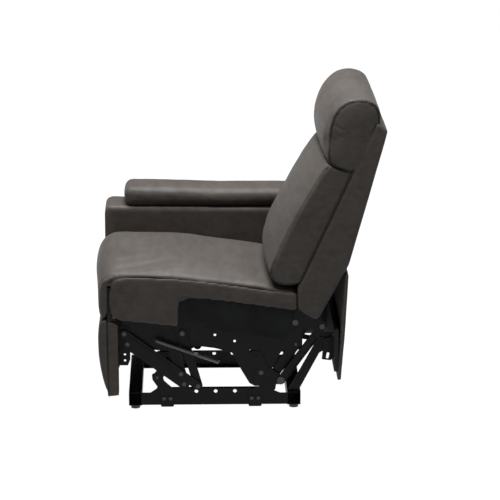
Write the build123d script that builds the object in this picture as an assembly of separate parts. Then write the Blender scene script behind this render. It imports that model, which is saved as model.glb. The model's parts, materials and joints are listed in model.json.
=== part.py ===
"""One-arm reclining chair module: steel mechanism, wooden frames and leather cushions.

Millimetres. +Z is up, the sitter faces -Y, the open side is +X and the arm is on -X.
The origin is on the floor under the middle of the bounding box.
"""
from build123d import *
import os
from math import atan2, cos, degrees, hypot, radians, sin

os.makedirs("parts", exist_ok=True)

# ---- driving dimensions ----
SEAT_X = 87.5            # middle plane of the seat, back and mechanism
HALF_SEAT = 295.0        # half the seat's width over its side covers
COVER = 5.0              # thickness of a leather-covered side panel
ARM_IN = -217.5          # the arm's face beside the seat
ARM_OUT = -382.5         # the arm's outer face
ARM_FRONT = -472.0
ARM_REAR = 318.0
ARM_BOTTOM = 106.0
ARM_TOP = 578.0
PAD_TOP = 650.0
SLOPE = 0.1157           # fall of the seat towards the back
PLATE = 3.0              # mechanism steel
PIN = 5.0                # rivet shank radius
RUN = 0.05               # radial running clearance of a link on its rivet
OPEN = 0.6               # radial clearance of a linkage's open pivot
LEVER_SLACK = 6.2        # radius of the back levers' slack lower hole
WOOD = 27.0              # thickness of the frame boards

# planes of the mechanism, as distances from the middle plane
L_RAIL = 221.0
L_POST = 224.5
L_SWING = 229.0
L_SIDE = 233.0
L_CRANK = 237.0
L_LINK = 241.0
L_OUTER = 245.0

# swing links that carry the seat forward: lower and upper pivots as (y, z)
SWING_LEN = 140.0
SWING_LEAN = 35.0
FRONT_LOW = (-285.0, 112.0)
REAR_LOW = (102.0, 112.0)

# footrest hinge, bracket pivots and the cranks that run parallel to the footrest
HINGE = (-446.0, 452.0)
BRACKET_A = (-383.0, 233.0)
JOINT_A = (-194.0, 92.0)
STEP_B = 39.0            # second bracket pivot, this far nearer the hinge
REACH_B = 1.305          # second link's length over the first's

# back hinge and recline linkage
BACK_PIVOT = (179.0, 307.0)
LEVER_TOP = (269.0, 292.0)
LEVER_LOW = (131.0, 103.0)
CRANK_PIVOT = (65.0, 130.0)

SPRING_FRONT = (-291.0, 251.0)
SPRING_REAR = (-77.0, 173.0)

HEAD_PIVOT = (352.0, 858.0)
HEAD_HINGE_U = 150.0     # headrest hinges, from the middle plane

SHELL_FRONT = [(447, 995), (372, 830), (200, 459), (188, 431), (185, 366)]
SHELL_REAR = [(236, 330), (255, 330), (291, 394), (356, 519), (479, 964)]


# ---- helpers ----
def add(p, q, k=1.0):
    return (p[0] + k * q[0], p[1] + k * q[1])


def sub(p, q):
    return (p[0] - q[0], p[1] - q[1])


def lean(p, length, degrees_back):
    """The point at this distance above p, on a line that leans to the rear."""
    a = radians(degrees_back)
    return (p[0] + length * sin(a), p[1] + length * cos(a))


def seat_z(y, base):
    """Height at y of a plane parallel to the seat that is at base over y = -432."""
    return base - SLOPE * (y + 432.0)


def at_x(x0, sketch, depth):
    """Extrude a side-view sketch towards +X from the plane x = x0."""
    return extrude(Plane.YZ.offset(x0) * sketch, amount=depth)


def plan(u):
    """World x of a plane at distance u from the middle plane."""
    return SEAT_X + u


def outline(points, radius=0.0):
    """A closed side-view face, with its corners rounded."""
    if radius:
        return make_face(FilletPolyline(*points, radius=radius, close=True))
    return make_face(Polyline(*points, close=True))


def holes(sketch, centres, radius):
    for y, z in centres:
        sketch -= Pos(y, z) * Circle(radius)
    return sketch


def bar(p, q, width):
    """A flat link with round ends about p and q."""
    span = sub(q, p)
    turn = degrees(atan2(span[1], span[0]))
    middle = add(p, span, 0.5)
    return Pos(*middle) * (Rot(0, 0, turn) * SlotCenterToCenter(hypot(*span), width))


def block(x0, x1, y0, y1, z0, z1):
    return Pos((x0 + x1) / 2, (y0 + y1) / 2, (z0 + z1) / 2) * Box(x1 - x0, y1 - y0, z1 - z0)


def pair(solid):
    """The solid on the open side and its mirror image on the arm side."""
    return [solid, mirror(solid, about=Plane.YZ.offset(SEAT_X))]


def plate(u, sketch, thick=PLATE):
    return pair(at_x(plan(u), sketch, thick))


def rivet(p, u0, u1, radius=PIN, head=0.0, head_at="outer", head_thick=2.2):
    """A shank from u0 to u1 with one wider head, on both sides."""
    shank = at_x(plan(u0), Pos(*p) * Circle(radius), u1 - u0)
    if head:
        start = u1 if head_at == "outer" else u0 - head_thick
        shank += at_x(plan(start), Pos(*p) * Circle(head), head_thick)
    return pair(shank)


def soften(solid, radius):
    """Round the edges of the two end faces of an extruded cushion."""
    ends = solid.faces().filter_by(Axis.X)
    rims = ends.sort_by(Axis.X)[0].edges() + ends.sort_by(Axis.X)[-1].edges()
    return fillet(rims, radius)


def save(node, solids):
    shape = solids[0] if len(solids) == 1 else Compound(children=list(solids))
    export_step(shape, f"parts/{node}.step")


# ---- worked-out pivots ----
FRONT_HIGH = lean(FRONT_LOW, SWING_LEN, SWING_LEAN)
REAR_HIGH = lean(REAR_LOW, SWING_LEN, SWING_LEAN)
ARM_A = sub(BRACKET_A, HINGE)
SHARE_B = 1.0 - STEP_B / hypot(*ARM_A)
SPAN_A = sub(JOINT_A, BRACKET_A)
CRANK_A = add(HINGE, SPAN_A)
BRACKET_B = add(HINGE, ARM_A, SHARE_B)
CROSS_B = add(CRANK_A, ARM_A, SHARE_B)
CRANK_B = add(HINGE, SPAN_A, REACH_B)
JOINT_B = add(BRACKET_B, SPAN_A, REACH_B)


# ---- base frame ----
TUBE_LOW = 12.0
TUBE_TOP = 57.0
FRONT_TUBE = (-381.0, -337.0)
REAR_TUBE = (154.0, 199.0)


def base_rails():
    web = outline([(-337, 14), (-337, 57), (-308, 57), (-286, 72), (86, 72), (130, 54), (154, 54),
                   (154, 14)])
    web = holes(web, [(-153, 61), (-88, 61), (-23, 61)], 6.25)
    rail = at_x(plan(L_RAIL), web, PLATE)
    rail += block(plan(L_RAIL - 22), plan(L_RAIL), -337, 154, 14, 17)
    rail += block(plan(L_RAIL - 14), plan(L_RAIL), -286, 86, 69, 72)
    save("base_rails", pair(rail))


def cross_tubes():
    tubes = []
    for y0, y1 in (FRONT_TUBE, REAR_TUBE):
        tube = block(plan(-224), plan(224), y0, y1, TUBE_LOW, TUBE_TOP)
        tube -= block(plan(-225), plan(225), y0 + 2, y1 - 2, TUBE_LOW + 2, TUBE_TOP - 2)
        tubes.append(tube)
    save("cross_tubes", tubes)


def glides():
    feet = []
    for y0, y1 in (FRONT_TUBE, REAR_TUBE):
        foot = Pos(plan(204), (y0 + y1) / 2, TUBE_LOW / 2) * Cylinder(15.5, TUBE_LOW)
        feet += pair(foot)
    save("glides", feet)


def posts():
    front = outline([(-273, 8), (-229, 8), (-229, 70), (-262, 100), (-269, 128), (-285, 132),
                     (-303, 122), (-301, 104), (-273, 62)], 5)
    solids = plate(L_POST, holes(front, [FRONT_LOW], PIN))
    rear = outline([(23, 8), (67, 8), (70, 50), (113, 66), (121, 112), (112, 130), (90, 130),
                    (82, 108), (76, 84), (23, 66)], 5)
    solids += plate(L_POST, holes(rear, [REAR_LOW], PIN))
    save("swing_posts", solids)


def base_hardware():
    pins = []
    for p in (FRONT_LOW, REAR_LOW):
        pins += rivet(p, L_POST, L_SWING + PLATE, head=9, head_at="inner")
    save("base_pivots", pins)
    bolts = []
    for y in (-262, -240, 34, 56):
        bolts += pair(at_x(plan(L_POST + PLATE), Pos(y, 38) * RegularPolygon(7, 6), 5))
    save("post_bolts", bolts)


def rear_support():
    arm = outline([(156, 57), (192, 57), (262, 190), (306, 215), (306, 262), (268, 262)], 6)
    save("rear_arms", plate(205, arm, 6))
    strap = outline([(151, 249), (282, 227), (285, 243), (154, 265)], 3)
    bars = plate(211, strap, 4)
    hook = outline([(277, 240), (270, 169), (300, 165), (308, 172), (308, 250)], 3)
    hook -= Pos(290, 182) * (Rot(0, 0, 80) * SlotOverall(22, 9))
    save("rear_brackets", bars + plate(215, hook, 3))
    save("rear_rail", [block(plan(-290), plan(290), 308, 322, 147, 290)])
    panel = outline([(319, 118), (331, 118), (350, 397), (354, 485), (342, 485), (338, 397)])
    panel -= outline([(300, 140), (322.5, 140), (322.5, 297), (300, 297)])
    save("rear_panel", [at_x(plan(-295), panel, 590)])


# ---- swing links ----
def swing_links():
    for name, low, high in (("front_swing_links", FRONT_LOW, FRONT_HIGH),
                            ("rear_swing_links", REAR_LOW, REAR_HIGH)):
        link = bar(low, high, 32)
        link = holes(link, [low], PIN + RUN)
        link = holes(link, [high], PIN + (RUN if name.startswith("front") else OPEN))
        save(name, plate(L_SWING, link))


# ---- seat carriage ----
FLANGE = 355.7           # seat flange height over y = -432
CUSHION_BASE = 395.0     # cushion underside over y = -432


def side_plates():
    shape = outline([(-402, 352), (-402, 252), (-380, 226), (-330, 214), (-228, 206), (-185, 206),
                     (-150, 224), (-90, 216), (-33, 200), (-2, 140), (26, 92), (44, 82), (72, 82),
                     (90, 104), (104, 148), (132, 202), (165, 203), (203, 212), (206, 330),
                     (156, 330), (120, 292)], 8)
    shape = holes(shape, [FRONT_HIGH, REAR_HIGH, CRANK_B, CRANK_PIVOT, BACK_PIVOT], PIN)
    shape = holes(shape, [CRANK_A], 11.1)
    shape = holes(shape, [(29, 206), (60, 180), (-24, 240), (-90, 262), (-340, 322)], 4.5)
    part = at_x(plan(L_SIDE), shape, PLATE)
    front, rear = (-398, seat_z(-398, FLANGE)), (100, seat_z(100, FLANGE))
    strip = outline([front, rear, add(rear, (0, -PLATE)), add(front, (0, -PLATE))])
    part += at_x(plan(L_SIDE), strip, PLATE + 28)
    save("side_plates", pair(part))


def carriage_tubes():
    tubes = []
    for y, z in ((-120, 312), (128, 292)):
        ring = Pos(y, z) * Circle(10) - Pos(y, z) * Circle(8)
        tubes.append(at_x(plan(-L_SIDE), ring, 2 * L_SIDE))
    save("carriage_tubes", tubes)


def carriage_pins():
    pins = []
    for p in (FRONT_HIGH, REAR_HIGH):
        pins += rivet(p, L_SWING, L_SIDE + PLATE, head=9, head_at="inner")
    for p in (CRANK_B, CRANK_PIVOT):
        pins += rivet(p, L_SIDE, L_CRANK + PLATE, head=8, head_thick=0.8)
    pins += rivet(BACK_PIVOT, L_SIDE, L_OUTER + PLATE, head=10)
    tab = at_x(plan(L_SIDE + PLATE), Pos(*SPRING_REAR) * Circle(4), 12)
    save("carriage_pivots", pins + pair(tab))


def seat_frame():
    low, high = FLANGE, CUSHION_BASE - 6
    side = outline([(-430, seat_z(-430, low)), (150, seat_z(150, low)), (150, seat_z(150, high)),
                    (-430, seat_z(-430, high))])
    save("seat_side_rails", plate(262, side, WOOD))
    front = outline([(-430, 330), (-408, 330), (-408, seat_z(-408, high)),
                     (-430, seat_z(-430, high))])
    rear = outline([(118, 302), (150, 302), (150, seat_z(150, high)), (118, seat_z(118, high))])
    save("seat_cross_rails", [at_x(plan(-262), front, 524), at_x(plan(-232), rear, 464)])


def serpentine(length, swing, pitch):
    """A zigzag wire of arcs in the XY plane, starting at the origin and running along +Y."""
    count = int(length / pitch)
    points = [(0, 0), (0, pitch / 2)]
    for i in range(count):
        side = swing if i % 2 else -swing
        points += [(side, pitch * (i + 0.5)), (side, pitch * (i + 1.5))]
    points += [(0, pitch * (count + 0.5)), (0, pitch * (count + 1))]
    path = FilletPolyline(*points, radius=pitch * 0.45)
    return sweep(Plane(path @ 0, z_dir=path % 0) * Circle(1.7), path=path)


def seat_springs():
    wire = serpentine(525, 20, 22)
    fall = degrees(atan2(SLOPE, 1.0))
    wires = []
    for i in range(5):
        x = plan(-200 + 100 * i)
        wires.append(Pos(x, -424, seat_z(-424, CUSHION_BASE - 3.9)) * (Rot(-fall, 0, 0) * wire))
    save("seat_springs", wires)


def seat_soft():
    profile = outline([(-430, 395), (-430, 456), (-443, 478), (-428, 494), (-330, 502),
                       (-115, 484), (88, 452), (90, seat_z(90, CUSHION_BASE))], 18)
    save("seat_cushion", [soften(at_x(plan(-289), profile, 578), 14)])
    leather = outline([(-437, 458), (-441, 396), (-434, 341), (-407, 329), (-221, 309),
                       (-213, 415), (180, 368), (180, 414), (-348, 474), (-410, 472)])
    save("seat_side_covers", plate(HALF_SEAT - COVER, leather, COVER))
    cloth = outline([(-213, 415), (-221, 309), (146, 261), (180, 368)])
    save("seat_dust_cloths", plate(HALF_SEAT - COVER, cloth, COVER - 1))


def footrest_drive():
    crank = bar(CRANK_A, JOINT_A, 36)
    crank = holes(crank, [JOINT_A, CROSS_B], PIN - 1)
    crank = holes(crank, [CRANK_A], 11)
    save("drive_cranks", plate(L_CRANK, crank))
    tube = Pos(*CRANK_A) * Circle(11) - Pos(*CRANK_A) * Circle(9)
    save("drive_tube", [at_x(plan(-L_CRANK - PLATE), tube, 2 * (L_CRANK + PLATE))])
    pins = rivet(JOINT_A, L_CRANK, L_LINK + PLATE, PIN - 1, head=7, head_thick=0.8)
    pins += rivet(CROSS_B, L_CRANK, L_OUTER + PLATE, PIN - 1, head=7.5)
    save("drive_pivots", pins)
    idler = holes(bar(CRANK_B, JOINT_B, 30), [CRANK_B], PIN + RUN)
    idler = holes(idler, [JOINT_B], PIN - 1)
    save("idler_cranks", plate(L_CRANK, idler))
    save("idler_pivots", rivet(JOINT_B, L_CRANK, L_OUTER + PLATE, PIN - 1, head=7.5))


def footrest_links():
    first = holes(bar(BRACKET_A, JOINT_A, 32), [BRACKET_A], PIN - 1 + RUN)
    first = holes(first, [JOINT_A], PIN - 1 + OPEN)
    save("footrest_links_a", plate(L_LINK, first))
    second = holes(bar(BRACKET_B, JOINT_B, 28), [BRACKET_B], PIN - 1 + RUN)
    second = holes(second, [CROSS_B, JOINT_B], PIN - 1 + OPEN)
    link = at_x(plan(L_OUTER), second, PLATE)
    rib_from = add(BRACKET_B, SPAN_A, 0.15)
    rib_to = add(BRACKET_B, SPAN_A, 0.8)
    link += at_x(plan(L_OUTER + PLATE), bar(rib_from, rib_to, 8), 2)
    save("footrest_links_b", pair(link))


# ---- footrest ----
def footrest():
    save("footrest_board", [block(plan(-286), plan(286), -449, -435, 69, 440)])
    save("footrest_battens", pair(block(plan(236), plan(288), -435, -413, 69, 312)))
    for node, low, high, nose in (("footrest_pad", 56, 328, -479), ("footrest_band", 333, 440, -476)):
        shape = outline([(-449.1, low), (-466, low + 12), (nose, low + 50), (nose, high - 40),
                         (-468, high - 8), (-449.1, high)], 8)
        save(node, [soften(at_x(plan(-HALF_SEAT), shape, 2 * HALF_SEAT), 5)])
    bracket = outline([(-413, 159), (-382, 159), (-374, 180), (-374, 285), (-385, 295),
                       (-413, 295)])
    bracket = holes(bracket, [BRACKET_A, BRACKET_B], PIN - 1)
    bracket = holes(bracket, [(-392, 197), (-392, 176)], 4)
    angle = at_x(plan(L_CRANK), bracket, PLATE)
    angle += block(plan(L_CRANK + PLATE), plan(L_CRANK + 26), -413, -410, 159, 215)
    save("footrest_brackets", pair(angle))
    pins = rivet(BRACKET_A, L_CRANK, L_LINK + PLATE, PIN - 1, head=7, head_thick=0.8)
    pins += rivet(BRACKET_B, L_CRANK, L_OUTER + PLATE, PIN - 1, head=7.5)
    save("footrest_pivots", pins)


def chaise_hinge():
    """Three knuckles on the seat, two on the footrest and one rod."""
    fixed, moving = [], []
    y, z = HINGE
    bore = Pos(y, z) * Circle(2.5 + RUN)
    for i, u in enumerate((-250, -150, -50, 50, 150)):
        ring = Pos(y, z) * Circle(5)
        if i % 2 == 0:
            leaf = outline([(y, z + 1), (y, z + 3), (-433, z + 3), (-433, 400), (-435, 400),
                            (-435, z + 1)])
            fixed.append(at_x(plan(u), ring + leaf - Pos(y, z) * Circle(2.5), 100))
        else:
            leaf = outline([(-447, z), (-445, z), (-445, 440), (-447, 440)])
            moving.append(at_x(plan(u + 0.5), ring + leaf - bore, 99))
    rod = at_x(plan(-250), Pos(y, z) * Circle(2.5), 500)
    save("seat_hinge_leaves", fixed + [rod])
    save("footrest_hinge_leaves", moving)


def extension_springs():
    """Counterbalance springs of the footrest, drawn as their outer shape."""
    run = sub(SPRING_REAR, SPRING_FRONT)
    length = hypot(*run)
    coil = Cylinder(6.5, length, align=(Align.CENTER, Align.CENTER, Align.MIN))
    tilt = degrees(atan2(run[0], run[1]))
    solid = Pos(plan(257), *SPRING_FRONT) * (Rot(-tilt, 0, 0) * coil)
    save("extension_springs", pair(solid))


# ---- back ----
def back_frame():
    side = outline([(440, 985), (372, 836), (200, 465), (190, 431), (190, 370), (236, 338),
                    (250, 338), (284, 396), (349, 521), (470, 960)])
    save("back_side_rails", plate(262, side, WOOD))
    top = outline([(438, 981), (468, 958), (456, 914), (410, 914)])
    lower = outline([(194, 372), (236, 343), (248, 343), (270, 380), (198, 412)])
    save("back_cross_rails", [at_x(plan(-262), top, 524), at_x(plan(-245), lower, 490)])
    straps = []
    for share in (0.2, 0.45, 0.7):
        y, z = add((214, 465), sub((372, 806), (214, 465)), share)
        band = outline([(y, z), (y + 22.7, z + 49), (y + 24.5, z + 48.1), (y + 1.8, z - 0.9)])
        straps.append(at_x(plan(-262), band, 524))
    save("back_webbing", straps)


def back_covers():
    save("back_side_covers", plate(HALF_SEAT - COVER, outline(SHELL_FRONT + SHELL_REAR), COVER))
    rear = [(255, 330), (291, 394), (356, 519), (479, 964)]
    inner = [(473, 964), (350, 520.5), (285, 396.5), (251, 335)]
    board = at_x(plan(-289), outline(rear + inner), 578)
    cap = outline([(447, 994), (478, 966), (472.5, 963.5), (441, 988)])
    save("back_rear_cover", [board + at_x(plan(-289), cap, 578)])


def back_soft():
    shape = outline([(188, 447), (112, 446), (78, 480), (80, 550), (150, 705), (204, 818),
                     (238, 845), (262, 838), (300, 821), (357, 821)], 14)
    save("back_cushion", [soften(at_x(plan(-289), shape, 578), 14)])


def back_hinges():
    bracket = outline([(160, 296), (186, 288), (268, 276), (285, 290), (282, 305), (240, 330),
                       (268, 420), (268, 470), (228, 470), (170, 328)], 7)
    bracket = holes(bracket, [BACK_PIVOT], PIN + RUN)
    bracket = holes(bracket, [LEVER_TOP], PIN)
    part = at_x(plan(L_OUTER), bracket, PLATE)
    pad = outline([(228, 400), (256, 400), (262, 462), (234, 462)])
    part += at_x(plan(L_OUTER + PLATE), pad, 262 - L_OUTER - PLATE)
    save("back_hinge_brackets", pair(part))
    save("lever_top_pivots", rivet(LEVER_TOP, L_LINK, L_OUTER + PLATE, head=9))


def recline_linkage():
    crank = outline([(48, 118), (120, 88), (146, 92), (148, 112), (92, 146), (62, 206),
                     (34, 206), (34, 186), (48, 150)], 9)
    crank = holes(crank, [CRANK_PIVOT], PIN + RUN)
    crank = holes(crank, [LEVER_LOW], PIN)
    crank = holes(crank, [(48, 192)], 4)
    save("recline_cranks", plate(L_CRANK, crank))
    save("lever_low_pivots", rivet(LEVER_LOW, L_CRANK, L_LINK + PLATE, head=13))
    lever = holes(bar(LEVER_TOP, LEVER_LOW, 28), [LEVER_TOP], PIN + RUN)
    lever = holes(lever, [LEVER_LOW], LEVER_SLACK)
    part = at_x(plan(L_LINK), lever, PLATE)
    run = sub(LEVER_LOW, LEVER_TOP)
    length = hypot(*run)
    across = (-run[1] / length, run[0] / length)
    for side in (-12.5, 12.5):
        ridge = bar(add(add(LEVER_TOP, run, 0.2), across, side),
                    add(add(LEVER_TOP, run, 0.88), across, side), 2.6)
        part += at_x(plan(L_LINK + PLATE), ridge, 6)
    save("back_levers", pair(part))


# ---- headrest ----
def headrest():
    shape = outline([(370, 836), (394, 893), (423, 953), (438, 988), (446, 1022), (437, 1052),
                     (410, 1068), (376, 1073), (343, 1064), (315, 1040), (296, 1010), (284, 972),
                     (272, 905), (281, 868), (322, 838)], 9)
    cushion = soften(at_x(plan(-289), shape, 578), 20)
    slot = outline([(326, 815), (326, 890), (358, 978), (402, 978), (445, 965), (445, 815)])
    for u in (-HEAD_HINGE_U, HEAD_HINGE_U):
        cushion -= at_x(plan(u) - 10, slot, 20)
    cushion -= at_x(plan(-HEAD_HINGE_U), Pos(380, 950) * Circle(6.1), 2 * HEAD_HINGE_U)
    save("headrest_cushion", [cushion])
    arms, brackets = [], []
    arm = holes(bar(HEAD_PIVOT, (380, 950), 22), [HEAD_PIVOT], PIN + RUN)
    arm = holes(arm, [(380, 950)], 6)
    bracket = outline([(346, 848), (362, 846), (404, 896), (452, 900), (453, 913.9),
                       (396, 913.9), (344, 868)], 3)
    bracket = holes(bracket, [HEAD_PIVOT], PIN)
    for u in (-HEAD_HINGE_U, HEAD_HINGE_U):
        inward = 1 if u < 0 else -1
        arms.append(at_x(plan(u) + inward * 4.5 - 2, arm, 4))
        low = min(plan(u) - 2, plan(u) + inward * 4.5 - 2)
        pin = at_x(low, Pos(*HEAD_PIVOT) * Circle(PIN), 8.5)
        brackets.append(at_x(plan(u) - 2, bracket, 4) + pin)
    rod = at_x(plan(-145.5) - 2, Pos(380, 950) * Circle(6), 295)
    save("headrest_frame", [arms[0] + rod + arms[1]])
    save("headrest_hinges", brackets)


# ---- arm ----
def arm():
    skin = 8.0
    side = outline([(ARM_FRONT + skin, ARM_BOTTOM), (ARM_REAR, ARM_BOTTOM), (ARM_REAR, ARM_TOP - 8),
                    (ARM_FRONT + skin, ARM_TOP)])
    save("arm_inner_panel", [at_x(ARM_IN - skin, side, skin)])
    save("arm_outer_panel", [at_x(ARM_OUT, side, skin)])
    front = outline([(ARM_FRONT, ARM_BOTTOM), (ARM_FRONT + skin, ARM_BOTTOM),
                     (ARM_FRONT + skin, ARM_TOP + 2), (ARM_FRONT + 3, ARM_TOP + 2),
                     (ARM_FRONT, ARM_TOP - 2)])
    save("arm_front_panel", [at_x(ARM_OUT, front, ARM_IN - ARM_OUT)])
    rear_z = ARM_TOP - 8
    save("arm_rear_panel", [block(ARM_OUT + skin, ARM_IN - skin, ARM_REAR - skin, ARM_REAR,
                                  ARM_BOTTOM, rear_z - 12)])
    inner_front = ARM_FRONT + skin
    deck = outline([(inner_front, ARM_TOP - 18), (ARM_REAR, rear_z - 12), (ARM_REAR, rear_z),
                    (inner_front, ARM_TOP)])
    save("arm_deck", [at_x(ARM_OUT + skin, deck, ARM_IN - ARM_OUT - 2 * skin)])
    posts = []
    for y in (inner_front + 0.1, -90, ARM_REAR - skin - 30.1):
        for x in (ARM_OUT + skin, ARM_IN - skin - WOOD):
            posts.append(block(x, x + WOOD, y, y + 30, ARM_BOTTOM + 20, ARM_TOP - 36))
    save("arm_posts", posts)
    save("arm_base_board", [block(ARM_OUT + skin, ARM_IN - skin, inner_front, ARM_REAR - skin,
                                  ARM_BOTTOM, ARM_BOTTOM + 20)])
    pad = outline([(-401, ARM_TOP + 4), (-401, PAD_TOP - 2), (-90, PAD_TOP - 8), (230, PAD_TOP - 8),
                   (230, ARM_TOP - 5)], 12)
    save("arm_pad", [soften(at_x(ARM_OUT, pad, ARM_IN - ARM_OUT), 22)])
    brackets = []
    for y0, y1 in (FRONT_TUBE, REAR_TUBE):
        foot = block(-330, plan(-224), y0 + 6, y1 - 6, 30, 36)
        foot += block(-330, -324, y0 + 6, y1 - 6, 36, ARM_BOTTOM)
        brackets.append(foot)
    save("arm_brackets", brackets)


for build in (base_rails, cross_tubes, glides, posts, base_hardware, rear_support, swing_links,
              side_plates, carriage_tubes, carriage_pins, seat_frame, seat_springs,
              seat_soft, footrest_drive, footrest_links, footrest, chaise_hinge,
              extension_springs, back_frame, back_covers, back_soft, back_hinges,
              recline_linkage, headrest, arm):
    build()
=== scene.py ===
import json
import math

import bmesh
import bpy
import numpy as np
from mathutils import Matrix, Vector, kdtree, noise


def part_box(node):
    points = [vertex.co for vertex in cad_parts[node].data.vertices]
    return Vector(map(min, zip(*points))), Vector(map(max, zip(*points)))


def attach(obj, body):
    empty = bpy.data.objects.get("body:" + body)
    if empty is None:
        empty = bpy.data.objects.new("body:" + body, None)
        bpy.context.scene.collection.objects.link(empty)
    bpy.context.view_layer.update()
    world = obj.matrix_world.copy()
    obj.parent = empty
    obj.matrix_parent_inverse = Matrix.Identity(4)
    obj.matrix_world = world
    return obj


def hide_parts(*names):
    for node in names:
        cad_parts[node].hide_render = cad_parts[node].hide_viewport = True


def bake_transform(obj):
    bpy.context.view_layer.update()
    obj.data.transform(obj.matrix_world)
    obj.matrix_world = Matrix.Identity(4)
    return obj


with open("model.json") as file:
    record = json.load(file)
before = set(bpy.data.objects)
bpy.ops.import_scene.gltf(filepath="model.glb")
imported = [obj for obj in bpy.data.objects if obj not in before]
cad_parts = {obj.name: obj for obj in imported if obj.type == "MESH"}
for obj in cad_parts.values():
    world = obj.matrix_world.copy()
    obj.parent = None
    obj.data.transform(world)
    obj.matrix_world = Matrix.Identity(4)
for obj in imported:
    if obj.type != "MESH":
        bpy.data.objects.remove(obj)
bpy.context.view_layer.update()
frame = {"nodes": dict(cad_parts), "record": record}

MM = 0.001
SIM_FRAMES = 20
SMOOTHING_ROUNDS = 14    # evens the cloth's movement before it is applied
NODES = frame["nodes"]
SEAT_LO, SEAT_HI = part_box("seat_side_covers")
SEAT_MID = (SEAT_LO[0] + SEAT_HI[0]) / 2
HALF = (SEAT_HI[0] - SEAT_LO[0]) / 2


# ---------------------------------------------------------------- mesh helpers
def mm_points(points):
    return [(y * MM, z * MM) for y, z in points]


def smooth_loop(points, count, tension=0.5):
    """A closed Catmull-Rom curve through (y, z) points, sampled evenly by length."""
    p = np.array(points, float)
    n = len(p)
    fine = []
    for i in range(n):
        a, b, c, d = p[i - 1], p[i], p[(i + 1) % n], p[(i + 2) % n]
        for t in np.linspace(0, 1, 16, endpoint=False):
            m0, m1 = (c - a) * tension, (d - b) * tension
            fine.append((2 * t**3 - 3 * t**2 + 1) * b + (t**3 - 2 * t**2 + t) * m0
                        + (-2 * t**3 + 3 * t**2) * c + (t**3 - t**2) * m1)
    fine = np.array(fine + [fine[0]])
    step = np.r_[0, np.cumsum(np.hypot(*np.diff(fine, axis=0).T))]
    at = np.linspace(0, step[-1], count, endpoint=False)
    return np.c_[np.interp(at, step, fine[:, 0]), np.interp(at, step, fine[:, 1])]


def loop_normals(loop):
    """Outward normals of a closed (y, z) loop."""
    along = np.roll(loop, -1, 0) - np.roll(loop, 1, 0)
    out = np.c_[along[:, 1], -along[:, 0]]
    out /= np.linalg.norm(out, axis=1)[:, None]
    area = np.sum(loop[:, 0] * np.roll(loop[:, 1], -1) - np.roll(loop[:, 0], -1) * loop[:, 1])
    return out if area > 0 else -out


def new_object(name, verts, faces):
    mesh = bpy.data.meshes.new(name)
    mesh.from_pydata([tuple(v) for v in verts], [], faces)
    mesh.validate()
    obj = bpy.data.objects.new(name, mesh)
    bpy.context.scene.collection.objects.link(obj)
    return obj


def loft(name, points, x0, x1, edge, crown=None, count=110, rows=30, tension=0.5, grow=0.0):
    """A closed body from x0 to x1 with this side outline, grown outwards by grow.

    Its ends are rounded by edge, and crown(normals, loop) swells it towards its middle.
    """
    loop = smooth_loop(mm_points(points), count, tension)
    normal = loop_normals(loop)
    loop = loop + normal * grow
    swell = crown(normal, loop) if crown else np.zeros(count)
    middle, half = (x0 + x1) / 2, abs(x1 - x0) / 2
    verts, faces = [], []
    turn = np.linspace(0, math.pi / 2, 6)
    near = [half - edge + edge * math.sin(a) for a in turn]
    flat = np.linspace(-(half - edge), half - edge, rows)[1:-1]
    stations = [-s for s in reversed(near)] + list(flat) + near
    for s in stations:
        over = max(0.0, abs(s) - (half - edge))
        inset = edge - math.sqrt(max(0.0, edge**2 - over**2))
        lift = swell * (1 - min(1.0, abs(s) / half) ** 2.4)
        ring = loop + normal * (lift - inset)[:, None]
        verts += [(middle + s, y, z) for y, z in ring]
    for r in range(len(stations) - 1):
        for i in range(count):
            j = (i + 1) % count
            a, b = r * count, (r + 1) * count
            faces.append((a + i, a + j, b + j, b + i))
    faces.append(tuple(range(count - 1, -1, -1)))
    last = (len(stations) - 1) * count
    faces.append(tuple(range(last, last + count)))
    obj = new_object(name, verts, faces)
    fix_normals(obj)
    return obj


def fix_normals(obj):
    bm = bmesh_of(obj)
    bmesh.ops.recalc_face_normals(bm, faces=bm.faces)
    bm.to_mesh(obj.data)
    bm.free()


def bmesh_of(obj):
    bm = bmesh.new()
    bm.from_mesh(obj.data)
    return bm


def apply_modifiers(obj):
    graph = bpy.context.evaluated_depsgraph_get()
    mesh = bpy.data.meshes.new_from_object(obj.evaluated_get(graph))
    old = obj.data
    obj.modifiers.clear()
    obj.data = mesh
    bpy.data.meshes.remove(old)


def remesh(obj, voxel):
    mod = obj.modifiers.new("remesh", "REMESH")
    mod.mode = "VOXEL"
    mod.voxel_size = voxel
    apply_modifiers(obj)


def shade_smooth(obj):
    for polygon in obj.data.polygons:
        polygon.use_smooth = True


def subdivide(obj):
    obj.modifiers.new("subdivide", "SUBSURF").levels = 1
    apply_modifiers(obj)


def get_points(mesh):
    flat = np.empty(len(mesh.vertices) * 3)
    mesh.vertices.foreach_get("co", flat)
    return flat.reshape(-1, 3)


def get_normals(mesh):
    flat = np.empty(len(mesh.vertices) * 3)
    mesh.vertices.foreach_get("normal", flat)
    return flat.reshape(-1, 3)


def set_points(mesh, points):
    mesh.vertices.foreach_set("co", np.ascontiguousarray(points, dtype=np.float64).ravel())
    mesh.update()


def average(mesh, values, rounds):
    """Smooth per-vertex values over the mesh's edges."""
    pairs = np.empty(len(mesh.edges) * 2, dtype=np.int64)
    mesh.edges.foreach_get("vertices", pairs)
    pairs = pairs.reshape(-1, 2)
    degree = np.bincount(pairs.ravel(), minlength=len(values)).astype(float)
    for _ in range(rounds):
        total = np.zeros_like(values)
        np.add.at(total, pairs[:, 0], values[pairs[:, 1]])
        np.add.at(total, pairs[:, 1], values[pairs[:, 0]])
        values = 0.5 * values + 0.5 * total / np.maximum(degree, 1)[:, None]
    return values


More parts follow.
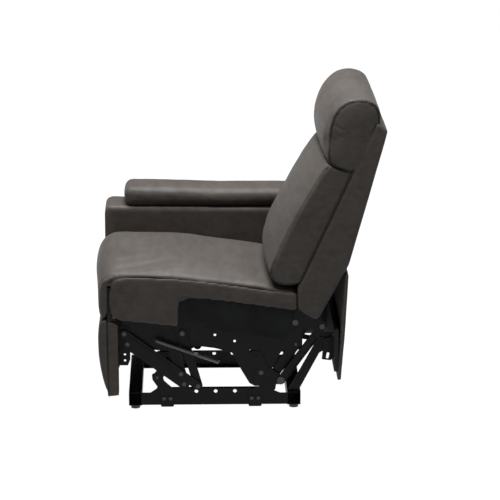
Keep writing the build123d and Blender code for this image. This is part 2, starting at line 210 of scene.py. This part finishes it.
def seam_weights(points, paths, width):
    """How near each point is to any seam path: 1 on it, falling to 0."""
    samples = []
    for path in paths:
        for a, b in zip(path[:-1], path[1:]):
            a, b = Vector(a), Vector(b)
            pieces = max(1, int((b - a).length / 0.003))
            samples += [a.lerp(b, k / pieces) for k in range(pieces)]
    tree = kdtree.KDTree(len(samples))
    for i, s in enumerate(samples):
        tree.insert(s, i)
    tree.balance()
    distance = np.array([tree.find(p)[2] for p in points])
    return np.exp(-((distance / width) ** 2))


def inflate(obj, pressure, held):
    """Cloth with pressure for 20 frames; held is the weight that pins each vertex."""
    group = obj.vertex_groups.new(name="held")
    for i in np.nonzero(held > 0.01)[0]:
        group.add([int(i)], float(held[i]), "REPLACE")
    cloth = obj.modifiers.new("cloth", "CLOTH")
    s = cloth.settings
    s.quality = 4
    s.mass = 0.4
    s.tension_stiffness = s.compression_stiffness = 18
    s.shear_stiffness = 8
    s.bending_stiffness = 1.5
    s.use_pressure = True
    s.uniform_pressure_force = pressure
    s.effector_weights.gravity = 0
    s.vertex_group_mass = "held"
    cloth.collision_settings.use_self_collision = False
    cloth.collision_settings.use_collision = False
    cloth.point_cache.frame_start = 1
    cloth.point_cache.frame_end = SIM_FRAMES
    for f in range(1, SIM_FRAMES + 1):
        bpy.context.scene.frame_set(f)
    graph = bpy.context.evaluated_depsgraph_get()
    result = get_points(obj.evaluated_get(graph).data)
    obj.modifiers.clear()
    bpy.context.scene.frame_set(1)
    return result


def pillow(obj, voxel, limit, pressure=4.0, still=None, seams=(), depth=0.0025, width=0.005,
           wrinkle=0.0006, divide=True):
    """Turn a closed shape into a stuffed one: remesh, inflate, sew the seams, subdivide."""
    remesh(obj, voxel)
    rest = get_points(obj.data)
    normal = get_normals(obj.data)
    held = still(rest, normal) if still else np.zeros(len(rest))
    sewn = seam_weights(rest, seams, width) if seams else np.zeros(len(rest))
    points = rest.copy()
    moved = inflate(obj, pressure, np.maximum(held, 0.0)) - rest
    length = np.linalg.norm(moved, axis=1)
    allowed = limit * (1 - held)
    moved *= np.minimum(1, allowed / np.maximum(length, 1e-9))[:, None]
    points += average(obj.data, moved, SMOOTHING_ROUNDS)
    set_points(obj.data, points)
    normal = get_normals(obj.data)
    creases = np.array([noise.noise(Vector((p[0] * 9, p[1] * 22, p[2] * 22))) +
                        0.5 * noise.noise(Vector((p[0] * 30, p[1] * 55, p[2] * 55)))
                        for p in rest])
    points += normal * (wrinkle * creases * (1 - held) - depth * sewn)[:, None]
    set_points(obj.data, points)
    if divide:
        subdivide(obj)
    shade_smooth(obj)


def paint_seam_shade(obj, seams, reach):
    """The faces that lie in a sewn groove take the seam leather that is painted darker as shade in
    the groove.
    """
    obj.data.materials.append(SEAM_SHADE)
    count = len(obj.data.polygons)
    centre = np.empty(count * 3)
    obj.data.polygons.foreach_get("center", centre)
    near = seam_weights(centre.reshape(-1, 3), seams, reach) > math.exp(-1)
    obj.data.polygons.foreach_set("material_index", near.astype(np.int32))


def tube(name, path, radius):
    curve = bpy.data.curves.new(name, "CURVE")
    curve.dimensions = "3D"
    curve.bevel_depth = radius
    curve.bevel_resolution = 3
    spline = curve.splines.new("POLY")
    spline.points.add(len(path) - 1)
    for point, p in zip(spline.points, path):
        point.co = (*p, 1)
    obj = bpy.data.objects.new(name, curve)
    bpy.context.scene.collection.objects.link(obj)
    return obj


# ---------------------------------------------------------------- materials
class Nodes:
    """A short way to write a node tree."""

    def __init__(self, name):
        self.material = bpy.data.materials.new(name)
        self.material.use_nodes = True
        self.tree = self.material.node_tree
        self.shader = self.tree.nodes["Principled BSDF"]
        self.coord = self.tree.nodes.new("ShaderNodeTexCoord").outputs["Object"]

    def add(self, kind, **inputs):
        node = self.tree.nodes.new("ShaderNode" + kind)
        for key, value in inputs.items():
            self.put(node, key.replace("_", " "), value)
        return node

    def put(self, node, key, value):
        if isinstance(value, bpy.types.NodeSocket):
            self.tree.links.new(value, node.inputs[key])
        else:
            node.inputs[key].default_value = value

    def scaled(self, x, y, z):
        node = self.add("Mapping", Vector=self.coord)
        node.inputs["Scale"].default_value = (x, y, z)
        return node.outputs["Vector"]

    def noise(self, vector, scale, detail=4, rough=0.55):
        return self.add("TexNoise", Vector=vector, Scale=scale, Detail=detail,
                        Roughness=rough).outputs["Fac"]

    def voronoi(self, vector, scale, feature="F1"):
        node = self.add("TexVoronoi", Vector=vector, Scale=scale)
        node.feature = feature
        return node.outputs["Distance"]

    def remap(self, value, a, b, c, d):
        node = self.add("MapRange", Value=value)
        for key, number in zip(("From Min", "From Max", "To Min", "To Max"), (a, b, c, d)):
            node.inputs[key].default_value = number
        return node.outputs["Result"]

    def ramp(self, value, stops):
        node = self.add("ValToRGB", Fac=value)
        ramp = node.color_ramp
        while len(ramp.elements) < len(stops):
            ramp.elements.new(0.5)
        for element, (at, colour) in zip(ramp.elements, stops):
            element.position = at
            element.color = (*colour, 1)
        return node.outputs["Color"]

    def math(self, kind, a, b):
        node = self.tree.nodes.new("ShaderNodeMath")
        node.operation = kind
        self.put(node, 0, a)
        self.put(node, 1, b)
        return node.outputs[0]

    def bump(self, layers):
        """Stack bump layers of (height, strength, distance)."""
        last = None
        for height, strength, distance in layers:
            node = self.add("Bump", Height=height, Strength=strength, Distance=distance)
            if last:
                self.put(node, "Normal", last)
            last = node.outputs["Normal"]
        self.put(self.shader, "Normal", last)

    def set(self, **inputs):
        for key, value in inputs.items():
            self.put(self.shader, key.replace("_", " "), value)
        return self.material


def leather(name, dark, light):
    """Charcoal pull-up leather: pebble grain, streaky tone and softer worn patches."""
    n = Nodes(name)
    streak = n.noise(n.scaled(2.2, 9, 14), 3.5, 6, 0.62)
    cloud = n.noise(n.coord, 7, 5, 0.6)
    tone = n.math("ADD", n.math("MULTIPLY", streak, 0.6), n.math("MULTIPLY", cloud, 0.4))
    base = n.ramp(tone, [(0.34, dark), (0.5, [(a + b) / 2 for a, b in zip(dark, light)]),
                         (0.68, light)])
    grain = n.voronoi(n.coord, 620)
    pores = n.noise(n.coord, 1500, 2)
    crease = n.voronoi(n.scaled(1, 1.6, 1.6), 75, "DISTANCE_TO_EDGE")
    fold = n.remap(crease, 0, 0.06, 0, 1)
    n.bump([(cloud, 0.10, 0.004), (fold, 0.06, 0.0006), (grain, 0.32, 0.0005),
            (pores, 0.12, 0.0003)])
    rough = n.remap(n.math("ADD", tone, n.math("MULTIPLY", grain, 0.25)), 0.3, 0.9, 0.70, 0.54)
    return n.set(Base_Color=base, Roughness=rough, Sheen_Weight=0.02, Sheen_Roughness=0.5,
                 Specular_IOR_Level=0.2)


def painted(name, colour, rough):
    """Powder-coated steel with orange peel and faint rubbed patches."""
    n = Nodes(name)
    peel = n.noise(n.coord, 420, 3)
    rub = n.noise(n.scaled(1, 3, 3), 22, 6, 0.7)
    worn = [c * 2 + 0.004 for c in colour]
    base = n.ramp(rub, [(0.45, colour), (0.62, [c * 1.25 for c in colour]), (0.8, worn)])
    n.bump([(rub, 0.04, 0.001), (peel, 0.10, 0.0004)])
    return n.set(Base_Color=base, Roughness=n.remap(rub, 0.3, 0.75, rough, rough - 0.12),
                 Specular_IOR_Level=0.12)


def bare_steel(name, colour, rough):
    """Zinc-plated steel with fine turning marks and dull spots."""
    n = Nodes(name)
    marks = n.noise(n.scaled(40, 8, 8), 60, 4, 0.7)
    spots = n.noise(n.coord, 160, 4)
    base = n.ramp(spots, [(0.35, [c * 0.7 for c in colour]), (0.6, colour)])
    n.bump([(marks, 0.12, 0.0003)])
    return n.set(Base_Color=base, Metallic=1.0,
                 Roughness=n.remap(marks, 0.3, 0.7, rough, rough + 0.18))


def cloth(name, colour, pitch):
    """Woven or bonded backing cloth."""
    n = Nodes(name)
    warp = n.add("TexWave", Vector=n.coord, Scale=pitch)
    warp.bands_direction = "Y"
    weft = n.add("TexWave", Vector=n.coord, Scale=pitch)
    weft.bands_direction = "Z"
    weave = n.math("MAXIMUM", warp.outputs["Fac"], weft.outputs["Fac"])
    fuzz = n.noise(n.coord, 900, 3)
    tone = n.noise(n.coord, 14, 5)
    base = n.ramp(tone, [(0.3, [c * 0.75 for c in colour]), (0.7, [c * 1.3 for c in colour])])
    n.bump([(weave, 0.35, 0.0005), (fuzz, 0.2, 0.0004)])
    return n.set(Base_Color=base, Roughness=0.92, Specular_IOR_Level=0.08)


def timber(name, colour):
    """Pale frame board with long grain and saw marks."""
    n = Nodes(name)
    rings = n.noise(n.scaled(1.5, 14, 14), 9, 8, 0.65)
    fibre = n.noise(n.scaled(6, 120, 120), 8, 4)
    base = n.ramp(rings, [(0.3, [c * 0.62 for c in colour]), (0.5, colour),
                          (0.7, [min(1, c * 1.15) for c in colour])])
    n.bump([(fibre, 0.3, 0.0005), (rings, 0.1, 0.0008)])
    return n.set(Base_Color=base, Roughness=n.remap(fibre, 0.3, 0.7, 0.75, 0.6))


def plastic(name, colour):
    n = Nodes(name)
    texture = n.noise(n.coord, 500, 3)
    scuff = n.noise(n.coord, 40, 5)
    n.bump([(texture, 0.2, 0.0003)])
    base = n.ramp(scuff, [(0.4, colour), (0.8, [c * 1.8 for c in colour])])
    return n.set(Base_Color=base, Roughness=n.remap(scuff, 0.3, 0.7, 0.55, 0.42))


DARK = (0.0205, 0.0172, 0.0147)
LIGHT = (0.0360, 0.0310, 0.0272)
LEATHER = leather("leather_charcoal", DARK, LIGHT)
DUST_CLOTH = cloth("dust_cloth", (0.0085, 0.0088, 0.0092), 260)
WEBBING = cloth("elastic_webbing", (0.02, 0.02, 0.022), 120)
BLACK_STEEL = painted("black_steel", (0.0035, 0.0035, 0.0036), 0.45)
GREY_STEEL = painted("grey_steel", (0.0055, 0.0057, 0.006), 0.45)
ZINC = bare_steel("zinc_steel", (0.055, 0.055, 0.058), 0.24)
SPRING_STEEL = bare_steel("spring_steel", (0.15, 0.15, 0.155), 0.3)
# Seam leather painted near-black as the shade that falls in sewn grooves and in the shell's joint
# gap.
SEAM_SHADE = leather("leather_seam_shade", (0.0045, 0.0040, 0.0036), (0.0075, 0.0066, 0.0060))
TIMBER = timber("frame_timber", (0.50, 0.36, 0.22))
BLACK_BOARD = painted("blackened_board", (0.010, 0.010, 0.010), 0.7)
GLIDE = plastic("glide_plastic", (0.012, 0.012, 0.012))

BY_SLOT = {"leather": LEATHER, "wood": TIMBER, "dust_cloth": DUST_CLOTH, "webbing": WEBBING,
           "glide_plastic": GLIDE, "zinc_steel": ZINC, "grey_steel": GREY_STEEL,
           "black_steel": BLACK_STEEL}


def paint(obj, material):
    obj.data.materials.clear()
    obj.data.materials.append(material)


def paint_nodes():
    """Every CAD node takes the material of its slot, except the footrest board, footrest battens
    and rear rail, which take the blackened board.
    """
    slots = {s["node"]: s["material_slot"] for s in frame["record"]["subparts"]}
    for name, obj in NODES.items():
        material = BY_SLOT[slots[name]]
        if name in ("footrest_board", "footrest_battens", "rear_rail"):
            material = BLACK_BOARD
        for holder in obj.material_slots:
            holder.material = material


def finish_piece(obj, body, replaced, material=LEATHER):
    paint(obj, material)
    if body:
        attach(obj, body)
    if replaced:
        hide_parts(*replaced)


# ---------------------------------------------------------------- soft pieces
def at(x, points):
    return [(x, y * MM, z * MM) for y, z in points]


def both_ends(points, half):
    return [at(SEAT_MID - half, points), at(SEAT_MID + half, points)]


SEAT_RIM = [(-441, 459), (-425, 472), (-401, 479), (-348, 480), (-237, 476), (-127, 465),
            (-16, 448), (90, 430), (178, 418)]


def seat():
    """Seat pad whose cover runs over the front edge and down to the footrest's notch."""
    shape = [(178, 378), (90, 384), (-170, 380), (-418, 400), (-430, 418), (-433, 445), (-443, 459),
             (-450, 446), (-450, 400), (-450, 342), (-458, 334), (-468, 336), (-474, 352),
             (-477, 385), (-476, 425), (-468, 455), (-449, 476), (-415, 488), (-370, 492),
             (-300, 492), (-206, 485), (-114, 474), (-22, 462), (70, 448), (120, 432), (178, 420)]

    def crown(normal, loop):
        bulge = np.clip((-0.02 - loop[:, 0]) / 0.3, 0.35, 1)
        return (0.046 * bulge * np.clip(normal[:, 1], 0, 1)
                + 0.004 * np.clip(-normal[:, 0], 0, 1))

    obj = loft("seat_leather", shape, SEAT_LO[0] + 0.0005, SEAT_HI[0] - 0.0005, 0.022, crown, 150)

    p = get_points(obj.data)
    hem = np.interp(p[:, 1], [y * MM for y, _ in SEAT_RIM], [z * MM for _, z in SEAT_RIM])
    low = (p[:, 2] < hem - 0.006) & (p[:, 1] > -0.442)
    p[low, 0] = SEAT_MID + np.clip(p[low, 0] - SEAT_MID, -HALF + 0.012, HALF - 0.012)
    set_points(obj.data, p)

    def still(p, normal):
        under = (normal[:, 2] < -0.3) & (p[:, 1] > -0.44)
        rear = p[:, 1] > 0.05
        front = p[:, 1] < -0.43
        return np.where(under | rear, 1.0, np.where(front, 0.75, 0.0))

    pillow(obj, 0.006, 0.013, still=still, seams=both_ends(SEAT_RIM, HALF), depth=0.004,
           width=0.005)
    paint(obj, LEATHER)
    # The seat's rim seam faces are painted darker as shade in their grooves.
    paint_seam_shade(obj, both_ends(SEAT_RIM, HALF), 0.0045)
    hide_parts("seat_cushion", "footrest_band")
    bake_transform(obj)


def side_shape(name, points, x_out, thick, puff, rim, body, replaced, sign, material=LEATHER,
               voxel=0.005, seams=(), tension=0.12):
    """An upholstered side panel: a thin board with rounded rims that puffs out in the middle."""
    loop = smooth_loop(mm_points(points), 160, tension)
    n = len(loop)
    verts = [(x_out - sign * thick, y, z) for y, z in loop] + [(x_out, y, z) for y, z in loop]
    faces = [tuple(range(n)), tuple(range(2 * n - 1, n - 1, -1))]
    faces += [(i, (i + 1) % n, n + (i + 1) % n, n + i) for i in range(n)]
    obj = new_object(name, verts, faces)
    fix_normals(obj)
    remesh(obj, voxel)
    p = get_points(obj.data)
    normal = get_normals(obj.data)
    tree = kdtree.KDTree(n)
    for i, (y, z) in enumerate(loop):
        tree.insert((0, y, z), i)
    tree.balance()
    gap = np.array([tree.find((0, q[1], q[2]))[2] for q in p])
    outer = (p[:, 0] - (x_out - sign * thick / 2)) * sign > 0
    rise = puff * (1 - np.exp(-gap / rim)) - puff
    p[:, 0] += sign * np.where(outer, rise, 0)
    ripples = np.array([noise.noise(Vector((0, q[1] * 14, q[2] * 14))) for q in p])
    p[:, 0] += sign * np.where(outer, 0.0007 * ripples * (1 - np.exp(-gap / rim)), 0)
    if seams:
        p -= normal * (0.002 * seam_weights(p, seams, 0.004))[:, None]
    set_points(obj.data, p)
    subdivide(obj)
    shade_smooth(obj)
    finish_piece(obj, body, replaced, material)
    return obj


def seat_sides():
    shape = [(-438, 440), (-441, 418), (-441, 390), (-438, 360), (-428, 341), (-405, 329),
             (-300, 318), (-214, 309), (-211, 360), (-209, 398), (-208, 414),
             (-192, 412), (0, 387), (178, 361),
             (181, 392), (180, 420), (88, 430), (-16, 446), (-127, 462), (-237, 473),
             (-348, 477), (-394, 476), (-418, 470), (-431, 458)]
    cloth_shape = [(-213, 415), (-218, 362), (-221, 309), (-100, 292), (30, 276), (146, 261),
                   (163, 315), (180, 368), (50, 383), (-80, 399)]
    for sign, label in ((1, "open"), (-1, "arm")):
        x = SEAT_MID + sign * (HALF + 0.002)
        side_shape(f"seat_side_{label}", shape, x, 0.0075, 0.003, 0.012, "carriage",
                   ["seat_side_covers"] if sign > 0 else [], sign)
        x = SEAT_MID + sign * (HALF - 0.0005)
        side_shape(f"dust_cloth_{label}", cloth_shape, x, 0.004, 0.0008, 0.02, "carriage",
                   ["seat_dust_cloths"] if sign > 0 else [], sign, DUST_CLOTH,
                   0.006, tension=0.02)


def back_pad():
    """Back cushion: a boxed pad, flat at its sides and full in front."""
    shape = [(198, 462), (178, 449), (140, 447), (110, 458), (97, 480), (96, 505), (122, 564),
             (153, 629), (199, 716), (245, 796), (270, 835), (286, 853), (305, 841), (340, 832),
             (378, 828), (368, 800), (318, 690), (258, 555), (216, 462)]

    def crown(normal, loop):
        front = np.clip(-normal[:, 0], 0, 1)
        return 0.036 * front**0.7 * np.clip((loop[:, 1] - 0.45) / 0.12, 0.25, 1)

    obj = loft("back_leather", shape, SEAT_LO[0] + 0.004, SEAT_HI[0] - 0.004, 0.006, crown, 130,
               grow=0.002)

    def still(p, normal):
        inside = (normal[:, 0] ** 2 < 0.8) & (normal[:, 1] > 0.3)
        side = np.abs(p[:, 0] - SEAT_MID) > HALF - 0.012
        return np.where(inside, 1.0, np.where(side, 0.6, 0.0))

    rim = [(190, 452), (140, 449), (110, 459), (98, 480), (97, 505), (122, 564), (153, 629),
           (199, 716), (245, 796), (270, 835), (286, 852)]
    pillow(obj, 0.006, 0.014, still=still, seams=both_ends(rim, HALF - 0.005), depth=0.004,
           width=0.0055)
    paint(obj, LEATHER)
    # The back cushion's rim seam faces are painted darker as shade in their grooves.
    paint_seam_shade(obj, both_ends(rim, HALF - 0.005), 0.0042)
    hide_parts("back_cushion")
    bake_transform(obj)


def head_pad():
    """Headrest: a drum with flat stitched ends, fuller in the middle."""
    shape = [(384, 826), (410, 893), (438, 953), (446, 986), (448, 1020), (437, 1048),
             (410, 1064), (376, 1068), (345, 1060), (319, 1040), (302, 1013), (291, 974),
             (286, 930), (284, 889), (290, 862), (325, 842)]

    def crown(normal, loop):
        return 0.018 * np.clip(-normal[:, 0], 0, 1) + 0.008 * np.clip(normal[:, 1], 0, 1)

    obj = loft("headrest_leather", shape, SEAT_LO[0] + 0.004, SEAT_HI[0] - 0.004, 0.006, crown,
               grow=0.006)

    def still(p, normal):
        rear = (normal[:, 1] > 0.5) & (p[:, 2] < 0.97)
        return np.where(rear, 1.0, 0.0)

    ends = both_ends(shape + shape[:1], HALF - 0.007)
    folds = []
    for fold in ([(296, 992), (318, 978), (340, 974)], [(294, 968), (312, 954), (330, 950)],
                 [(294, 944), (308, 934)]):
        folds += both_ends(fold, HALF - 0.006)
    pillow(obj, 0.006, 0.009, still=still, seams=ends + folds, depth=0.003, width=0.0045)
    finish_piece(obj, "headrest", ["headrest_cushion"])
    # The headrest's end seam faces are painted darker as shade in their grooves.
    paint_seam_shade(obj, ends, 0.0055)


def back_shell():
    """The back's leather-covered case: sides, top and rear."""
    shape = [(441, 995), (365, 832), (279, 644), (196, 462), (185, 433), (184, 400), (186, 366),
             (212, 347), (238, 331), (254, 331), (272, 361), (291, 394), (323, 455), (356, 519),
             (420, 750), (477, 962), (472, 974)]
    obj = loft("back_shell_leather", shape, SEAT_LO[0], SEAT_HI[0], 0.006, None, 260, 12, 0.1)
    remesh(obj, 0.006)
    p = get_points(obj.data)
    normal = get_normals(obj.data)
    ripples = np.array([noise.noise(Vector((q[0] * 7, q[1] * 11, q[2] * 11))) for q in p])
    seam = seam_weights(p, both_ends(shape[10:] + shape[:1], HALF - 0.004), 0.004)
    set_points(obj.data, p + normal * (0.0009 * ripples - 0.0022 * seam)[:, None])
    shade_smooth(obj)
    finish_piece(obj, "back", ["back_side_covers", "back_rear_cover"])
    # Dark cords in the painted seam shade run along the shell's front edge as the shadow in the gap
    # between shell and back cushion.
    gap_shade_path = [(437, 993), (362, 833), (276, 645), (194, 464)]
    for path, label in zip(both_ends(gap_shade_path, HALF - 0.003), ("arm", "open")):
        cord = tube(f"back_joint_shade_{label}", path, 0.0028)
        finish_piece(cord, "back", [], SEAM_SHADE)


def foot_pad():
    """Footrest pad: a crescent in profile that ends in a pointed lower hem."""
    shape = [(-450, 326), (-450, 250), (-450, 150), (-449, 80), (-441, 56), (-449, 74),
             (-462, 112), (-473, 165), (-479, 220), (-480, 275), (-476, 315), (-468, 330),
             (-458, 331)]
    obj = loft("footrest_leather", shape, SEAT_LO[0] + 0.001, SEAT_HI[0] - 0.001, 0.006, None, 120,
               30, 0.4)

    def still(p, normal):
        return np.where(normal[:, 1] > 0.3, 1.0, 0.35)

    pillow(obj, 0.005, 0.006, still=still, seams=both_ends(shape[4:] + shape[:1], HALF - 0.005),
           depth=0.002, width=0.004)
    finish_piece(obj, "footrest", ["footrest_pad"])
    wrap = [(-449, 322), (-449, 200), (-449, 66), (-434, 66), (-414, 70), (-413, 200), (-413, 314),
            (-430, 322)]
    for sign, label in ((1, "open"), (-1, "arm")):
        x = SEAT_MID + sign * (HALF - 0.003)
        side_shape(f"footrest_edge_{label}", wrap, x, 0.010, 0.002, 0.006, "footrest", [], sign,
                   voxel=0.004, tension=0.05)


def arm():
    lo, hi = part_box("arm_outer_panel")[0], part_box("arm_inner_panel")[1]
    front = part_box("arm_front_panel")[0][1] / MM
    top, rear, low = hi[2] / MM, hi[1] / MM, lo[2] / MM
    shape = [(front, low + 6), (front, 340), (front, top - 22), (front + 6, top - 5),
             (front + 22, top + 3), (front + 75, top + 1), (-90, top - 4), (rear - 8, top - 8),
             (rear, top - 16), (rear, 340), (rear, low + 6), (rear - 6, low), (-90, low),
             (front + 6, low)]
    obj = loft("arm_leather", shape, lo[0], hi[0], 0.009, None, 240, 16, 0.12)
    seams = [at(hi[0], [(front + 14, low), (front + 14, top + 2)]),
             at(hi[0], [(-182, low), (-182, top)]),
             at(hi[0], [(front + 14, top - 2), (rear, top - 12)]),
             at(lo[0], [(front + 14, low), (front + 14, top + 2)]),
             at(lo[0], [(front + 14, top - 2), (rear, top - 12)])]

    def still(p, normal):
        return np.where((normal[:, 2] < -0.5) | (p[:, 1] > rear * MM - 0.02), 1.0, 0.3)

    pillow(obj, 0.007, 0.004, still=still, seams=seams, depth=0.0022, width=0.005, divide=False)
    finish_piece(obj, "base", ["arm_outer_panel", "arm_inner_panel", "arm_front_panel",
                                          "arm_rear_panel", "arm_deck"])
    pad_lo, pad_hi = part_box("arm_pad")
    y0, y1 = pad_lo[1] / MM, pad_hi[1] / MM
    section = [(y0 + 60, top - 1), (y0 + 16, top + 1), (y0 + 3, top + 10), (y0 - 1, top + 40),
               (y0 + 4, top + 56),
               (y0 + 18, top + 66), (y0 + 45, top + 67), (-200, top + 62), (-90, top + 57),
               (30, top + 57), (y1 - 30, top + 55), (y1 - 4, top + 44), (y1, top + 20),
               (y1 - 12, top - 3), (y1 - 60, top - 4), (-90, top - 3)]

    def crown(normal, loop):
        return 0.004 * np.clip(normal[:, 1], 0, 1)

    pad = loft("arm_pad_leather", section, lo[0] - 0.001, hi[0] + 0.001, 0.026, crown, 140)

    def pad_still(p, normal):
        return np.where(normal[:, 2] < -0.4, 1.0, 0.1)

    pillow(pad, 0.006, 0.009, still=pad_still, wrinkle=0.0009)
    finish_piece(pad, "base", ["arm_pad"])


def rear_flap():
    lo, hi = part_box("rear_panel")
    shape = [(319, 119), (331, 119), (342, 260), (350, 397), (352, 440), (354, 484), (342, 484),
             (340, 440), (338, 397), (331, 300), (323.5, 180)]
    obj = loft("rear_panel_leather", shape, lo[0], hi[0], 0.004, None, 200, 10, 0.08)
    remesh(obj, 0.005)
    p = get_points(obj.data)
    normal = get_normals(obj.data)
    ripples = np.array([noise.noise(Vector((q[0] * 6, 0, q[2] * 9))) for q in p])
    set_points(obj.data, p + normal * (0.0007 * ripples)[:, None])
    shade_smooth(obj)
    finish_piece(obj, "base", ["rear_panel"])


# ---------------------------------------------------------------- hard details
def coil_springs():
    """Close-wound extension springs, plain coils without end hooks."""
    lo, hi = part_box("extension_springs")
    radius, wire = 0.0060, 0.0013
    start = Vector((0, lo[1] + 0.004, hi[2] - 0.007))
    end = Vector((0, hi[1] - 0.004, lo[2] + 0.007))
    along = (end - start).normalized()
    side = Vector((1, 0, 0))
    up = side.cross(along)
    length = (end - start).length
    turns = int(length / (wire * 2.25))
    for sign, label in ((1, "open"), (-1, "arm")):
        x = SEAT_MID + sign * (hi[0] - SEAT_MID - radius - wire)
        path = []
        for k in range(turns * 10 + 1):
            a = 2 * math.pi * k / 10
            centre = start + along * (length * k / (turns * 10))
            p = centre + side * (radius * math.cos(a)) + up * (radius * math.sin(a))
            path.append((p.x + x, p.y, p.z))
        obj = tube(f"extension_spring_{label}", path, wire)
        finish_piece(obj, "carriage", ["extension_springs"] if sign > 0 else [],
                     SPRING_STEEL)


# ---------------------------------------------------------------- studio
CAMERA_AT = Vector((8.4059, -0.1755, 2.6160))
CAMERA_TURN = math.radians(1.44)
CAMERA_DROP = math.radians(14.3)
CAMERA_LENS = 180.65
FLOOR_HALF = 60
FLOOR_GLOW = 1.0         # a white sweep lit so evenly that it shows no shadow
SKY_GLOW = 0.32


def camera():
    look = Vector((-math.cos(CAMERA_TURN) * math.cos(CAMERA_DROP),
                   math.sin(CAMERA_TURN) * math.cos(CAMERA_DROP), -math.sin(CAMERA_DROP)))
    right = Vector((math.sin(CAMERA_TURN), math.cos(CAMERA_TURN), 0))
    up = right.cross(look)
    data = bpy.data.cameras.new("camera")
    data.lens = CAMERA_LENS
    data.sensor_width = 36
    data.clip_end = 200
    obj = bpy.data.objects.new("camera", data)
    turn = Matrix((right, up, -look)).transposed().to_4x4()
    obj.matrix_world = Matrix.Translation(CAMERA_AT) @ turn
    bpy.context.scene.collection.objects.link(obj)
    bpy.context.scene.camera = obj


def area_light(name, place, target, size, power):
    data = bpy.data.lights.new(name, "AREA")
    data.shape = "DISK"
    data.size = size
    data.energy = power
    obj = bpy.data.objects.new(name, data)
    place = Vector(place)
    obj.location = place
    obj.rotation_euler = (Vector(target) - place).to_track_quat("-Z", "Y").to_euler()
    bpy.context.scene.collection.objects.link(obj)


def studio():
    corners = [(x * FLOOR_HALF, y * FLOOR_HALF, 0) for x, y in ((-1, -1), (1, -1), (1, 1), (-1, 1))]
    floor = new_object("floor", corners, [(0, 1, 2, 3)])
    n = Nodes("floor_white")
    n.bump([(n.noise(n.coord, 30, 4), 0.02, 0.001)])
    n.set(Base_Color=(0.04, 0.04, 0.04, 1), Roughness=0.95, Specular_IOR_Level=0.0)
    paint(floor, n.set(Emission_Color=(1, 1, 1, 1), Emission_Strength=FLOOR_GLOW))
    world = bpy.data.worlds.new("studio")
    bpy.context.scene.world = world
    world.use_nodes = True
    world.node_tree.nodes["Background"].inputs["Color"].default_value = (1, 1, 1, 1)
    world.node_tree.nodes["Background"].inputs["Strength"].default_value = SKY_GLOW
    area_light("top", (0.2, -0.25, 4.6), (0, 0, 0.5), 2.6, 720)
    area_light("front", (-1.0, -3.0, 3.4), (0, 0, 0.5), 2.0, 10)


bpy.context.scene.view_settings.view_transform = "Standard"
camera()
studio()
paint_nodes()
seat()
seat_sides()
back_pad()
head_pad()
back_shell()
foot_pad()
arm()
rear_flap()
coil_springs()
